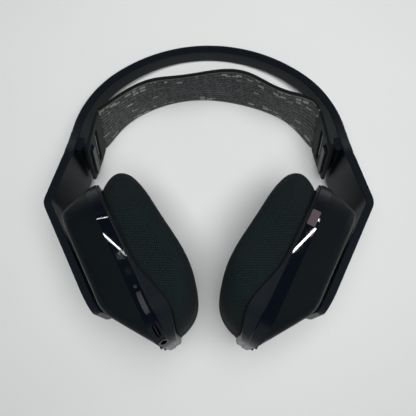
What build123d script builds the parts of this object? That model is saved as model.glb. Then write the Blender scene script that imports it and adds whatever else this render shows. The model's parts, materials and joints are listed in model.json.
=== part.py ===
"""Wireless gaming headset: a C-shaped frame with an elastic head strap and two sliding, swivelling cups.

Everything is drawn in the worn frame: X across the head, Y up to the crown, Z towards the rear.
Each cup has its own axes: n runs rearwards, t down along the blade and p inwards to the ear.
The left half is drawn and the right half is its mirror image. The finished pieces are then laid
down on their far side, so that the crown and both cups rest on the plane Z = 0.
"""

import math
import os

from build123d import *

# Driving dimensions, millimetres and degrees

# Arch of the headband
ARCH_Y = 45.0  # height of the arch's centre
ARCH_WIDE, ARCH_HIGH = 85.4, 70.5  # half width and height of its outer face
ARCH_SIDE_R = 62.0  # outer radius at the sides, which meet a wider arc at the crown
ARCH_T = 5.8
BAND_DEPTH = 30.0  # half depth that holds every part of the frame
COVER_T = 2.4  # outer cover over the arch
SEAM = 0.1  # gap between cover and frame
LEAD_R = 0.7  # lead clipped in the groove under the cover
LEAD_GAP = 0.2
LEAD_GROOVE_R = 0.9
LEAD_GROOVE_DEEP = 1.7
LEAD_SHORT = 2.0  # degrees by which the lead stops short of the arch at each end
SHOULDER_T = 4.4
FRAME_EDGE_R = 0.8
COVER_EDGE_R = 1.6
SEAM_EDGE_R = 0.3

# Blade, measured in the cup's own axes
CUP_X, CUP_Y = 70.0, -35.0  # origin of the cup axes, at the shell's outer face
BLADE_ANGLE = 27.0  # blade from vertical
BLADE_OUT, BLADE_IN = -8.0, -3.4  # p of its outer and inner faces
BLADE_END = 32.0  # t of its lower end
BLADE_HALF = 24.4  # half width
BLADE_CORNER_R = 13.0
BLADE_FOOT = -66.5  # height of the blade's lower end, seen from the side
SHOULDER_TOP = -38.4  # t where shoulder and blade meet outside
PLATE_T = 1.4  # slotted plate that closes the blade
PLATE_HALF = 20.5
PLATE_TOP, PLATE_END = -27.0, 29.0

# Height slider and pivots
TRAVEL_UP, TRAVEL_DOWN = 8.0, 4.0  # from where the cup is drawn
STEM_R = 4.0
CARRIAGE_HALF = 7.5
CARRIAGE_LONG = 8.0  # half length
CARRIAGE_T = 1.8
SLIDE_GAP = 0.2
PIVOT_P = 8.0
PIN_R = 1.5
RUNNING = 0.05  # radial clearance of a pin that turns
HEAD_HALF = 4.5
RING_IN, RING_OUT = 7.5, 11.0  # half sizes of the gimbal ring
RING_T = 4.0

# Cup
CUP_HALF = 43.0
CUP_TOP, CUP_END = -35.0, 65.0
TOP_R, END_R = 26.0, 24.0
SHELL_P = 17.0  # shell meets the mid housing
MID_P = 23.7  # mid housing meets the inner ring
RING_P = 24.7  # flat part of the inner ring
WALL = 2.0
SHELL_CORNER_R = 5.0
SHELL_HOLE_R = 6.0

# Controls on the left cup's rear wall
STRIP_P = 20.6  # middle of the control strip
POWER_T, POWER_R = 15.0, 2.6
MUTE_T, MUTE_R = 24.0, 1.9
LED_T, LED_R = 33.0, 0.9
ROLLER_T, ROLLER_R, ROLLER_WIDE = 41.5, 7.0, 2.6
ROLLER_PROUD = 0.7
BUTTON_GAP = 0.08
BUTTON_PROUD = 0.35
USB_TURN, USB_LONG, USB_WIDE, USB_DEEP = 40.5, 9.0, 3.2, 6.0
JACK_TURN, JACK_R, JACK_WALL, JACK_LONG = 64.0, 1.775, 0.8, 13.0
JACK_P = 21.0

# Ear pad
PAD_HALF = 42.0
EAR_HALF_N, EAR_TOP, EAR_END = 19.5, -20.0, 38.0
EAR_R = 17.0

# Strap and its rubber tabs
STRAP_T = 1.6
TAB_HALF = 26.5
TAB_WAIST = 22.5  # half width of the tab's hooked end
TAB_T = 1.8
TAB_LONG = 25.5
SLOT_LONG, SLOT_WIDE = 38.0, 4.0

# Resting pose
REST_PITCH = 17.4
REST_LIFT, REST_SHIFT = 39.2, -11.8

CUP = Plane(
    origin=(-CUP_X, CUP_Y, 0),
    x_dir=(0, 0, 1),
    z_dir=(math.cos(math.radians(BLADE_ANGLE)), math.sin(math.radians(BLADE_ANGLE)), 0),
)
SIDE = Plane(origin=CUP.origin, x_dir=CUP.y_dir, z_dir=CUP.x_dir)  # x is t, y is p

left, single = {}, {}


def at(n, t, p):
    """Point of the left cup's own axes, in the worn frame."""
    return CUP.from_local_coords(Vector(n, t, p))


def keep(piece, name, pair=True):
    """File a finished piece under its node name, as one of a pair or alone."""
    (left if pair else single)[name] = piece.part


def outline(inset=0.0, mode=Mode.ADD):
    """Face of the cup's rounded outline, drawn in from its edge by the inset."""
    low, high, side = CUP_TOP + inset, CUP_END - inset, CUP_HALF - inset
    corners = [(-side, low), (side, low), (side, high), (-side, high)]
    radii = [TOP_R - inset, TOP_R - inset, END_R - inset, END_R - inset]
    with BuildLine() as edge:
        FilletPolyline(*corners, radius=radii, close=True)
    make_face(edge.edges(), mode=mode)


def outward(n, t, turn, p):
    """Plane at a point of the cup, looking out of its rear wall turned down by an angle."""
    angle = math.radians(turn)
    out = CUP.x_dir * math.cos(angle) + CUP.y_dir * math.sin(angle)
    return Plane(origin=at(n, t, p), x_dir=CUP.z_dir.cross(out), z_dir=out)


def corner_point(turn):
    """Point (n, t) on the rear lower corner of the cup's outline."""
    angle = math.radians(turn)
    n = CUP_HALF - END_R + END_R * math.cos(angle)
    return n, CUP_END - END_R + END_R * math.sin(angle)


# Outlines that several pieces share


def cup_side(inset=0.0):
    """Face of the cup seen from the rear: flat outer face, slanted top and rising lower end."""
    slant = (-21.0, 0.0), (-42.1, 40.0)
    with BuildLine() as edge:
        FilletPolyline(
            slant[0], (36, 0), (CUP_END + 0.2, 19.3), (CUP_END + 0.2, 40), slant[1],
            radius=[0, 20, 4, 0, 0], close=True,
        )
    make_face(edge.edges())
    if inset:
        offset(amount=-inset, kind=Kind.INTERSECTION, mode=Mode.REPLACE)


def under_rim(lift=0.0):
    """Face below the inner ring's rim, which swells below the controls."""
    low = 20.0
    with BuildLine() as edge:
        Line((-60, RING_P + lift), (14, RING_P + lift))
        Spline(
            (14, RING_P + lift), (27, 26.4 + lift), (38, 29.6 + lift), (50, 31.6 + lift),
            (58, 29.6 + lift), (67, 25.4 + lift), tangents=[(1, 0), (1, -0.5)],
        )
        Polyline((67, 25.4 + lift), (67, low), (-60, low), (-60, RING_P + lift))
    make_face(edge.edges())


def plate_outline(grow=0.0):
    """Face of the slotted plate that closes the blade."""
    half = PLATE_HALF + grow
    top, end = PLATE_TOP - grow, PLATE_END + grow
    with BuildLine() as edge:
        FilletPolyline(
            (-half, top), (half, top), (half, end), (-half, end), radius=[2, 2, 10, 10], close=True
        )
    make_face(edge.edges())


def slot_face(low_n, high_n, low_t, high_t):
    """Rectangle between two values of n and two of t."""
    with Locations(((low_n + high_n) / 2, (low_t + high_t) / 2)):
        Rectangle(high_n - low_n, high_t - low_t)


# Frame and what is fixed to it


side_x = ARCH_WIDE - ARCH_SIDE_R
crown_r = (side_x**2 + ARCH_HIGH**2 - ARCH_SIDE_R**2) / (2 * (ARCH_HIGH - ARCH_SIDE_R))
CROWN_Y = ARCH_Y + ARCH_HIGH - crown_r
crown_span = math.degrees(math.atan2(side_x, ARCH_Y - CROWN_Y))


def half_arch(inset):
    """Left half of the arch's line, drawn in from its outer face by the inset."""
    CenterArc((-side_x, ARCH_Y), ARCH_SIDE_R - inset, 180, crown_span - 90)
    CenterArc((0, CROWN_Y), crown_r - inset, 90 + crown_span, -crown_span)


def whole_arch(inset):
    """The arch's line, drawn in from its outer face by the inset."""
    CenterArc((-side_x, ARCH_Y), ARCH_SIDE_R - inset, 180, crown_span - 90)
    CenterArc((0, CROWN_Y), crown_r - inset, 90 + crown_span, -2 * crown_span)
    CenterArc((side_x, ARCH_Y), ARCH_SIDE_R - inset, 90 - crown_span, crown_span - 90)


def side_outline():
    """Face of the frame seen from the side: half width against height."""
    top = 120
    with BuildLine() as edge:
        Spline(
            (top, 5.2), (100, 5.6), (80, 6.6), (62, 9.2), (48, 13.0), (36, 18.6), (22, BLADE_HALF),
            tangents=[(-1, 0.01), (-1, 0)],
        )
        FilletPolyline(
            (22, BLADE_HALF), (BLADE_FOOT, BLADE_HALF), (BLADE_FOOT, 0), radius=BLADE_CORNER_R
        )
        Polyline((BLADE_FOOT, 0), (top, 0), (top, 5.2))
    make_face(edge.edges())
    mirror(about=Plane.XZ)


split = COVER_T + SEAM
inner_foot = Vector(-ARCH_WIDE + ARCH_T, ARCH_Y)
kink_out = Vector(-ARCH_WIDE, 26.0)
kink_in = Vector(-ARCH_WIDE + ARCH_T, 26.6)
blade_out_top = at(0, SHOULDER_TOP, BLADE_OUT)
blade_out_end = at(0, BLADE_END, BLADE_OUT)
blade_in_end = at(0, BLADE_END, BLADE_IN)
shoulder_run = (blade_out_top - kink_out).normalized()
shoulder_side = Vector(-shoulder_run.Y, shoulder_run.X)
start = kink_out + shoulder_side * SHOULDER_T
gap = blade_in_end - start
turn = shoulder_run.X * CUP.y_dir.Y - shoulder_run.Y * CUP.y_dir.X
blade_in_top = start + shoulder_run * ((gap.X * CUP.y_dir.Y - gap.Y * CUP.y_dir.X) / turn)
KINK_R, SHOULDER_R, BLADE_END_R = 9.0, 6.0, 2.4

plate_p = BLADE_IN - PLATE_T
pocket_p = plate_p - CARRIAGE_T - 2 * SLIDE_GAP
pocket_half = CARRIAGE_HALF + 0.3
POCKET_GAP = 0.4  # beyond the carriage at each end
blade_screw_spots = [(-15, -22), (15, -22), (-14, 23), (14, 23)]
SCREW_R, SCREW_HEAD_R, SCREW_HEAD_T = 0.9, 1.8, 0.7
SCREW_LONG, SCREW_HOLE = 2.8, 2.4


def on_arch(edge, inset):
    """Whether an edge follows the arch at an inset from its outer face."""
    points = [edge @ u for u in (0.1, 0.5, 0.9)]
    arcs = ((side_x, ARCH_Y, ARCH_SIDE_R - inset), (0, CROWN_Y, crown_r - inset))
    return any(all(abs(math.hypot(abs(e.X) - x, e.Y - y) - r) < 0.01 for e in points) for x, y, r in arcs)


with BuildPart() as headband_frame:
    with BuildSketch(Plane.XY.offset(-BAND_DEPTH)):
        with BuildLine():
            half_arch(split)
            Polyline(
                (-ARCH_WIDE + split, ARCH_Y), (-ARCH_WIDE, ARCH_Y), kink_out, blade_out_top,
                blade_out_end, blade_in_end, blade_in_top, kink_in, inner_foot,
            )
            half_arch(ARCH_T)
            Line((0, ARCH_Y + ARCH_HIGH - ARCH_T), (0, ARCH_Y + ARCH_HIGH - split))
        make_face()
        rounded = [
            (kink_out, KINK_R), (blade_out_top, KINK_R), (blade_in_top, SHOULDER_R),
            (kink_in, KINK_R), (blade_out_end, BLADE_END_R),
        ]
        for corner, radius in rounded:
            fillet(vertices().sort_by_distance(corner)[0], radius)
    extrude(amount=2 * BAND_DEPTH)
    with BuildSketch(Plane.YZ.offset(-120)):
        side_outline()
    extrude(amount=120, mode=Mode.INTERSECT)
    # the edges along both sides are rounded, except at the seam under the cover
    along = [e for e in edges().filter_by(Axis.Z, reverse=True) if abs((e @ 0.5).X) > 0.01]
    fillet([e for e in along if not on_arch(e, split)], FRAME_EDGE_R)
    # groove for the lead
    with BuildSketch(Plane.XY):
        with BuildLine():
            half_arch(split - 1)
            Line((-ARCH_WIDE + split - 1, ARCH_Y), (-ARCH_WIDE + split + LEAD_GROOVE_DEEP, ARCH_Y))
            half_arch(split + LEAD_GROOVE_DEEP)
            crown_y = ARCH_Y + ARCH_HIGH - split
            Line((0, crown_y - LEAD_GROOVE_DEEP), (0, crown_y + 1))
        make_face()
    extrude(amount=LEAD_GROOVE_R, both=True, mode=Mode.SUBTRACT)
    # recess for the slotted plate, pocket for the carriage and holes for the screws
    with BuildSketch(CUP.offset(BLADE_IN)):
        plate_outline(SEAM)
    extrude(amount=-PLATE_T, mode=Mode.SUBTRACT)
    with BuildSketch(CUP.offset(plate_p)):
        pocket_end = CARRIAGE_LONG + POCKET_GAP
        slot_face(-pocket_half, pocket_half, -pocket_end - TRAVEL_UP, pocket_end + TRAVEL_DOWN)
    extrude(amount=pocket_p - plate_p, mode=Mode.SUBTRACT)
    with BuildSketch(CUP.offset(plate_p)):
        with Locations(*blade_screw_spots):
            Circle(SCREW_R)
    extrude(amount=-SCREW_HOLE, mode=Mode.SUBTRACT)
    mirror(about=Plane.YZ)
keep(headband_frame, "headband_frame", pair=False)

with BuildPart() as headband_cover:
    with BuildSketch(Plane.XY.offset(-BAND_DEPTH)):
        with BuildLine():
            whole_arch(0)
            Line((-ARCH_WIDE, ARCH_Y), (-ARCH_WIDE + COVER_T, ARCH_Y))
            whole_arch(COVER_T)
            Line((ARCH_WIDE - COVER_T, ARCH_Y), (ARCH_WIDE, ARCH_Y))
        make_face()
    extrude(amount=2 * BAND_DEPTH)
    with BuildSketch(Plane.YZ.offset(-120)):
        side_outline()
    extrude(amount=240, mode=Mode.INTERSECT)
    with BuildSketch(Plane.XZ.offset(-ARCH_Y)):
        Rectangle(200, 80)
    extrude(amount=-SEAM, both=True, mode=Mode.SUBTRACT)
    for inset, radius in ((0, COVER_EDGE_R), (COVER_T, SEAM_EDGE_R)):
        fillet([e for e in edges().filter_by(Axis.Z, reverse=True) if on_arch(e, inset)], radius)
keep(headband_cover, "headband_cover", pair=False)

lead_inset = split + LEAD_R + LEAD_GAP
lead_span = 90 - LEAD_SHORT - crown_span
with BuildPart() as headband_lead:
    with BuildLine():
        CenterArc((-side_x, ARCH_Y), ARCH_SIDE_R - lead_inset, 180 - LEAD_SHORT, -lead_span)
        CenterArc((0, CROWN_Y), crown_r - lead_inset, 90 + crown_span, -2 * crown_span)
        CenterArc((side_x, ARCH_Y), ARCH_SIDE_R - lead_inset, 90 - crown_span, -lead_span)
    angle = math.radians(180 - LEAD_SHORT)
    reach = ARCH_SIDE_R - lead_inset
    with BuildSketch(
        Plane(
            origin=(-side_x + reach * math.cos(angle), ARCH_Y + reach * math.sin(angle), 0),
            z_dir=(math.sin(angle), -math.cos(angle), 0),
        )
    ):
        Circle(LEAD_R)
    sweep()
keep(headband_lead, "headband_lead", pair=False)

# Rubber tabs, and the head strap between them. The strap stands on its front edge, so its line is
# given in the laid-down frame

TAB = Plane(  # x runs forwards and y up, towards the strap
    origin=(-72, 39, 2.2), x_dir=(-0.115, -0.02, -0.993), z_dir=(0.976, -0.185, -0.1093)
)
HOOKED_Y, OPEN_Y = -6.9, 2.4  # the tab's two slots
with BuildPart() as strap_tab:
    with BuildSketch(TAB.offset(-TAB_T / 2)):
        with BuildLine():
            FilletPolyline(
                (-TAB_HALF, TAB_LONG / 2), (TAB_HALF, TAB_LONG / 2), (TAB_HALF, 3),
                (TAB_WAIST, -TAB_LONG / 2), (-TAB_WAIST, -TAB_LONG / 2), (-TAB_HALF, 3),
                radius=[1, 1, 6, 3, 3, 6], close=True,
            )
        make_face()
        with Locations((0, HOOKED_Y), (0, OPEN_Y)):
            SlotOverall(SLOT_LONG, SLOT_WIDE, mode=Mode.SUBTRACT)
    extrude(amount=TAB_T)
    chamfer(edges().group_by(SortBy.LENGTH)[-1], 0.3)
keep(strap_tab, "strap_tab")

REST = Location((0, REST_SHIFT, REST_LIFT), (-REST_PITCH, 0, 0))
FOOT_Z = 0.6
STRAP_GAP = 0.8  # between the strap and the tabs' edges
# (x, y) of the standing edge, then (x, y, z) of the upper edge, from left to right
strap_stations = [
    ((-56.0, 48.2), (-43.5, 60.9), 50.9),
    ((-34.4, 59.6), (-24.6, 65.3), 52.4),
    ((-12.0, 64.4), (-8.0, 67.0), 53.4),
    ((11.0, 63.6), (11.0, 69.4), 53.4),
    ((32.6, 58.8), (26.5, 66.2), 53.1),
    ((53.6, 49.6), (43.0, 58.4), 52.0),
]


def from_laid(x, y, z):
    """Point of the laid-down frame, in the worn frame."""
    return (REST.inverse() * Location((x, y, z))).position


end_y = TAB_LONG / 2 + STRAP_GAP
end_foot, end_head = (TAB.from_local_coords(Vector(x, end_y, 0)) for x in (TAB_HALF, -TAB_HALF))
strap_feet = [end_foot] + [from_laid(*foot, FOOT_Z) for foot, head, z in strap_stations]
strap_heads = [end_head] + [from_laid(*head, z) for foot, head, z in strap_stations]
strap_feet.append(Vector(-end_foot.X, end_foot.Y, end_foot.Z))
strap_heads.append(Vector(-end_head.X, end_head.Y, end_head.Z))
strap_mids = [(foot + head) * 0.5 for foot, head in zip(strap_feet, strap_heads)]
strap_last = len(strap_mids) - 1
with BuildPart() as suspension_strap:
    for i, middle in enumerate(strap_mids):
        across = strap_heads[i] - strap_feet[i]
        ahead = strap_mids[min(i + 1, strap_last)] - strap_mids[max(i - 1, 0)]
        level = across.normalized()
        ahead = ahead - level * ahead.dot(level)
        with BuildSketch(Plane(origin=middle, x_dir=across, z_dir=ahead)):
            Rectangle(across.length, STRAP_T)
    loft()
keep(suspension_strap, "suspension_strap", pair=False)

HOOK = Plane(origin=TAB.origin, x_dir=TAB.z_dir, z_dir=TAB.x_dir)  # y runs down the tab
HOOK_HALF, ARM_T = 17.0, 2.4
FACE_GAP = 0.02  # between the hook's foot and the frame's inner face
lip_start = TAB_T / 2 + 0.3
with BuildPart() as strap_hook:
    with BuildSketch(HOOK.offset(-HOOK_HALF)):
        with BuildLine():
            Polyline(
                (-12, 2.5), (-4.6, 2.5), (-4.0, -HOOKED_Y - ARM_T / 2), (2.6, -HOOKED_Y - ARM_T / 2),
                (2.6, 9.9), (lip_start, 9.9), (lip_start, -HOOKED_Y + ARM_T / 2),
                (-4.0, -HOOKED_Y + ARM_T / 2), (-4.6, 10.6), (-12, 10.6), close=True,
            )
        make_face()
    extrude(amount=2 * HOOK_HALF)
    with BuildSketch(Plane.XY.offset(-BAND_DEPTH)):
        with BuildLine():
            face_in = Vector(FACE_GAP, 0)
            Polyline(inner_foot + face_in, kink_in + face_in, (0, kink_in.Y), (0, ARCH_Y), close=True)
        make_face()
    extrude(amount=2 * BAND_DEPTH, mode=Mode.INTERSECT)
keep(strap_hook, "strap_hook")

# Height slider and pivots

with BuildPart() as blade_plate:
    with BuildSketch(CUP.offset(plate_p)):
        plate_outline()
    extrude(amount=PLATE_T)
    with BuildSketch(CUP.offset(plate_p)):
        slot_face(-STEM_R - 0.3, STEM_R + 0.3, -STEM_R - 0.5 - TRAVEL_UP, STEM_R + 0.5 + TRAVEL_DOWN)
    extrude(amount=PLATE_T, mode=Mode.SUBTRACT)
    with BuildSketch(CUP.offset(plate_p)):
        with Locations(*blade_screw_spots):
            Circle(SCREW_R)
    extrude(amount=PLATE_T, mode=Mode.SUBTRACT)
    with BuildSketch(CUP.offset(BLADE_IN)):
        with Locations(*blade_screw_spots):
            Circle(SCREW_HEAD_R)
    extrude(amount=-SCREW_HEAD_T, mode=Mode.SUBTRACT)
keep(blade_plate, "blade_plate")

with BuildPart() as blade_screws:
    with BuildSketch(CUP.offset(BLADE_IN - SCREW_HEAD_T)):
        with Locations(*blade_screw_spots):
            Circle(SCREW_HEAD_R)
    extrude(amount=SCREW_HEAD_T)
    with BuildSketch(CUP.offset(BLADE_IN)):
        with Locations(*blade_screw_spots):
            RegularPolygon(0.75, 6)
    extrude(amount=-0.5, mode=Mode.SUBTRACT)
    with BuildSketch(CUP.offset(BLADE_IN - SCREW_HEAD_T)):
        with Locations(*blade_screw_spots):
            Circle(SCREW_R)
    extrude(amount=-SCREW_LONG)
keep(blade_screws, "blade_screws")

carriage_p = pocket_p + SLIDE_GAP
head_p = PIVOT_P - RING_T / 2
with BuildPart() as slide_carriage:
    with BuildSketch(CUP.offset(carriage_p)):
        slot_face(-CARRIAGE_HALF, CARRIAGE_HALF, -CARRIAGE_LONG, CARRIAGE_LONG)
        fillet(vertices(), 1.5)
    extrude(amount=CARRIAGE_T)
    with BuildSketch(CUP.offset(carriage_p + CARRIAGE_T)):
        Circle(STEM_R)
    extrude(amount=head_p - carriage_p - CARRIAGE_T)
    with BuildSketch(CUP.offset(head_p)):
        Rectangle(2 * HEAD_HALF, 2 * HEAD_HALF)
    extrude(amount=RING_T)
    with BuildSketch(Plane(origin=at(0, 0, PIVOT_P), x_dir=CUP.x_dir, z_dir=CUP.y_dir)):
        Circle(PIN_R + RUNNING)
    extrude(amount=HEAD_HALF + 1, both=True, mode=Mode.SUBTRACT)
keep(slide_carriage, "slide_carriage")

ALONG_T = Plane(origin=at(0, 0, PIVOT_P), x_dir=CUP.x_dir, z_dir=CUP.y_dir)
ALONG_N = Plane(origin=at(0, 0, PIVOT_P), x_dir=CUP.y_dir, z_dir=CUP.x_dir)
EAR_IN, EAR_OUT = 12.0, 15.0  # n of the pivot bracket's ears
with BuildPart() as gimbal_ring:
    with BuildSketch(CUP.offset(head_p)):
        Rectangle(2 * RING_OUT, 2 * RING_OUT)
        fillet(vertices(), 2.0)
        Rectangle(2 * RING_IN, 2 * RING_IN, mode=Mode.SUBTRACT)
    extrude(amount=RING_T)
    for axis in (ALONG_T, ALONG_N):
        with BuildSketch(axis):
            Circle(PIN_R)
        extrude(amount=RING_OUT + 1, both=True, mode=Mode.SUBTRACT)
keep(gimbal_ring, "gimbal_ring")

with BuildPart() as gimbal_pins:
    for axis, inner, outer in ((ALONG_T, 1.8, RING_OUT), (ALONG_N, RING_IN, EAR_OUT - 0.4)):
        with BuildSketch(axis.offset(inner), axis.offset(-outer)):
            Circle(PIN_R)
        extrude(amount=outer - inner)
keep(gimbal_pins, "gimbal_pins")

BOSS_R, BOSS_P = 17.0, 2.9
with BuildPart() as pivot_bracket:
    with BuildSketch(CUP.offset(BOSS_P)):
        Circle(BOSS_R - 0.5)
        Rectangle(2 * EAR_OUT, 20, mode=Mode.INTERSECT)
        Circle(7.5, mode=Mode.SUBTRACT)
    extrude(amount=1.2)
    with BuildSketch(ALONG_N.offset(EAR_IN), ALONG_N.offset(-EAR_OUT)):
        with Locations((0, (BOSS_P + 1.2 - PIVOT_P) / 2)):
            Rectangle(7, PIVOT_P - BOSS_P - 1.2)
        Circle(3.5)
        Circle(PIN_R + RUNNING, mode=Mode.SUBTRACT)
    extrude(amount=EAR_OUT - EAR_IN)
keep(pivot_bracket, "pivot_bracket")

# Cup shells

with BuildPart() as shell_cavity:
    with BuildSketch(CUP.offset(-1)):
        outline(WALL)
    extrude(amount=SHELL_P + 2)
    with BuildSketch(SIDE.offset(-50)):
        cup_side(WALL)
    extrude(amount=100, mode=Mode.INTERSECT)

with BuildPart() as outer_shell:
    with BuildSketch(CUP.offset(-1)):
        outline()
    extrude(amount=SHELL_P + 1)
    with BuildSketch(SIDE.offset(-50)):
        cup_side()
    extrude(amount=100, mode=Mode.INTERSECT)
    rim = faces().sort_by(Axis(CUP.origin, CUP.z_dir))[-1].edges()
    fillet(edges() - rim, SHELL_CORNER_R)
    add(shell_cavity.part, mode=Mode.SUBTRACT)
    with BuildSketch(CUP.offset(WALL - 0.5)):
        Circle(BOSS_R)
    extrude(amount=BOSS_P - WALL + 0.5)
    with BuildSketch(CUP.offset(-1)):
        Circle(SHELL_HOLE_R)
    extrude(amount=BOSS_P + 2, mode=Mode.SUBTRACT)
keep(outer_shell, "outer_shell")


LIGHT_T, LIGHT_LONG, LIGHT_WIDE = 15.0, 42.0, 3.0  # lit window on the front wall
LIGHT = Plane(origin=at(-CUP_HALF, LIGHT_T, STRIP_P), x_dir=CUP.y_dir, z_dir=-CUP.x_dir)
cup_screw_spots = [(36.0, 1.0), (-35.0, -17.0), (-36.0, 44.0), (-12.0, 57.5), (12.0, 57.5)]
CUP_SCREW_R, CUP_HEAD_R, CUP_BOSS_R, WEB_HALF = 0.9, 1.4, 2.4, 1.5

with BuildPart() as mid_housing:
    with BuildSketch(CUP.offset(SHELL_P)):
        outline()
    extrude(amount=MID_P - SHELL_P)
    with BuildSketch(SIDE.offset(-50)):
        cup_side()
    extrude(amount=100, mode=Mode.INTERSECT)
    top_edges = faces().sort_by(Axis(CUP.origin, CUP.z_dir))[-1].edges()
    chamfer(top_edges, 0.5)
    with BuildSketch(CUP.offset(SHELL_P)):
        outline(WALL)
    extrude(amount=MID_P - SHELL_P, mode=Mode.SUBTRACT)
    # screw bosses and the webs that join them to the wall
    with BuildSketch(CUP.offset(SHELL_P)):
        with Locations(*cup_screw_spots):
            Circle(CUP_BOSS_R)
        for n, t in cup_screw_spots:
            if abs(n) > 20:
                wall_n = math.copysign(CUP_HALF - 1, n)
                slot_face(min(n, wall_n), max(n, wall_n), t - WEB_HALF, t + WEB_HALF)
            else:
                slot_face(n - WEB_HALF, n + WEB_HALF, t, CUP_END - 1)
    extrude(amount=MID_P - SHELL_P)
    with BuildSketch(CUP.offset(MID_P)):
        with Locations(*cup_screw_spots):
            Circle(CUP_SCREW_R)
    extrude(amount=-5.0, mode=Mode.SUBTRACT)
    with BuildSketch(LIGHT):
        SlotOverall(LIGHT_LONG, LIGHT_WIDE)
    extrude(amount=-WALL - 1, mode=Mode.SUBTRACT)
right_mid_housing = mirror(mid_housing.part, about=Plane.YZ)

POWER = outward(CUP_HALF, POWER_T, 0, STRIP_P)
LED = outward(CUP_HALF, LED_T, 0, STRIP_P)
MUTE = outward(CUP_HALF, MUTE_T, 0, STRIP_P)
USB = outward(*corner_point(USB_TURN), USB_TURN, STRIP_P)
JACK = outward(*corner_point(JACK_TURN), JACK_TURN, JACK_P)
roller_n = CUP_HALF + ROLLER_PROUD - ROLLER_R
roller_low = STRIP_P - ROLLER_WIDE / 2
jack_out_r = JACK_R + JACK_WALL

with BuildPart() as left_mid_housing:
    add(mid_housing.part)
    for spot, radius in ((POWER, POWER_R), (MUTE, MUTE_R)):
        with BuildSketch(spot):
            Circle(radius + BUTTON_GAP)
        extrude(amount=-WALL - 1, mode=Mode.SUBTRACT)
    with BuildSketch(LED):
        Circle(LED_R)
    extrude(amount=-WALL - 1, mode=Mode.SUBTRACT)
    with BuildSketch(outward(CUP_HALF, ROLLER_T, 0, STRIP_P)):
        Rectangle(13.2, ROLLER_WIDE + 0.7)
    extrude(amount=-WALL - 2.5, mode=Mode.SUBTRACT)
    with BuildSketch(USB.offset(1)):
        SlotOverall(USB_LONG, USB_WIDE)
    extrude(amount=-WALL - 4, mode=Mode.SUBTRACT)
    with BuildSketch(JACK.offset(2)):
        Circle(jack_out_r)
    extrude(amount=-WALL - 5, mode=Mode.SUBTRACT)
single["mid_housing_left"] = left_mid_housing.part
single["mid_housing_right"] = right_mid_housing

# Inner ring, baffle and driver

RIM_WALL = 4.6  # inset of the rim's inner side
RING_HOLE = 9.5  # inset of the ring's opening
roller_spot = (roller_n, ROLLER_T)
AXLE_R = 1.0

with BuildPart() as inner_ring:
    with BuildSketch(CUP.offset(MID_P)):
        outline(0.6)
        outline(RIM_WALL, Mode.SUBTRACT)
    extrude(amount=12)
    with BuildSketch(SIDE.offset(-50)):
        under_rim()
    extrude(amount=100, mode=Mode.INTERSECT)
    with BuildSketch(CUP.offset(MID_P)):
        outline(RIM_WALL)
        outline(RING_HOLE, Mode.SUBTRACT)
    extrude(amount=RING_P - MID_P)
    with BuildSketch(SIDE.offset(-50)):
        cup_side()
    extrude(amount=100, mode=Mode.INTERSECT)
    with BuildSketch(CUP.offset(MID_P)):
        with Locations(*cup_screw_spots):
            Circle(CUP_SCREW_R)
    extrude(amount=RING_P - MID_P, mode=Mode.SUBTRACT)
    with BuildSketch(CUP.offset(MID_P)):
        with Locations(roller_spot):
            Circle(AXLE_R + RUNNING)
    extrude(amount=RING_P - MID_P, mode=Mode.SUBTRACT)
keep(inner_ring, "inner_ring")

BAFFLE_T = 1.5
baffle_top = RING_P + BAFFLE_T
DRIVER_T, DRIVER_R, FLANGE_R, FLANGE_T = 10.0, 22.4, 24.4, 1.0
with BuildPart() as baffle:
    with BuildSketch(CUP.offset(RING_P)):
        outline(5.0)
        with Locations((0, DRIVER_T)):
            Circle(DRIVER_R + 0.2, mode=Mode.SUBTRACT)
    extrude(amount=BAFFLE_T)
    with BuildSketch(CUP.offset(RING_P)):
        with Locations(*cup_screw_spots):
            Circle(CUP_SCREW_R)
    extrude(amount=BAFFLE_T, mode=Mode.SUBTRACT)
    with BuildSketch(CUP.offset(baffle_top)):
        with Locations(*cup_screw_spots):
            Circle(CUP_HEAD_R)
    extrude(amount=-1.0, mode=Mode.SUBTRACT)
keep(baffle, "baffle")

with BuildPart() as cup_screws:
    with BuildSketch(CUP.offset(baffle_top - 1.0)):
        with Locations(*cup_screw_spots):
            Circle(CUP_HEAD_R)
    extrude(amount=0.9)
    with BuildSketch(CUP.offset(baffle_top - 0.1)):
        with Locations(*cup_screw_spots):
            RegularPolygon(0.7, 6)
    extrude(amount=-0.5, mode=Mode.SUBTRACT)
    with BuildSketch(CUP.offset(baffle_top - 1.0)):
        with Locations(*cup_screw_spots):
            Circle(CUP_SCREW_R)
    extrude(amount=-6.0)
keep(cup_screws, "cup_screws")

driver_low = 21.5
DRIVER = Plane(origin=at(0, DRIVER_T, 0), x_dir=CUP.x_dir, z_dir=-CUP.y_dir)  # x is n, y is p
driver_axis = Axis(at(0, DRIVER_T, 0), CUP.z_dir)
with BuildPart() as driver_frame:
    with BuildSketch(DRIVER):
        with BuildLine():
            Polyline(
                (FLANGE_R, baffle_top), (FLANGE_R, baffle_top + FLANGE_T),
                (21.2, baffle_top + FLANGE_T), (21.2, driver_low + 1.2), (3, driver_low + 1.2),
                (3, driver_low), (DRIVER_R, driver_low), (DRIVER_R, baffle_top), close=True,
            )
        make_face()
    revolve(axis=driver_axis)
keep(driver_frame, "driver_frame")

with BuildPart() as driver_magnet:
    with BuildSketch(CUP.offset(driver_low)):
        with Locations((0, DRIVER_T)):
            Circle(10)
            Circle(2, mode=Mode.SUBTRACT)
    extrude(amount=-5)
    chamfer(edges().group_by(Axis(CUP.origin, CUP.z_dir))[0], 0.5)
keep(driver_magnet, "driver_magnet")

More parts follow.
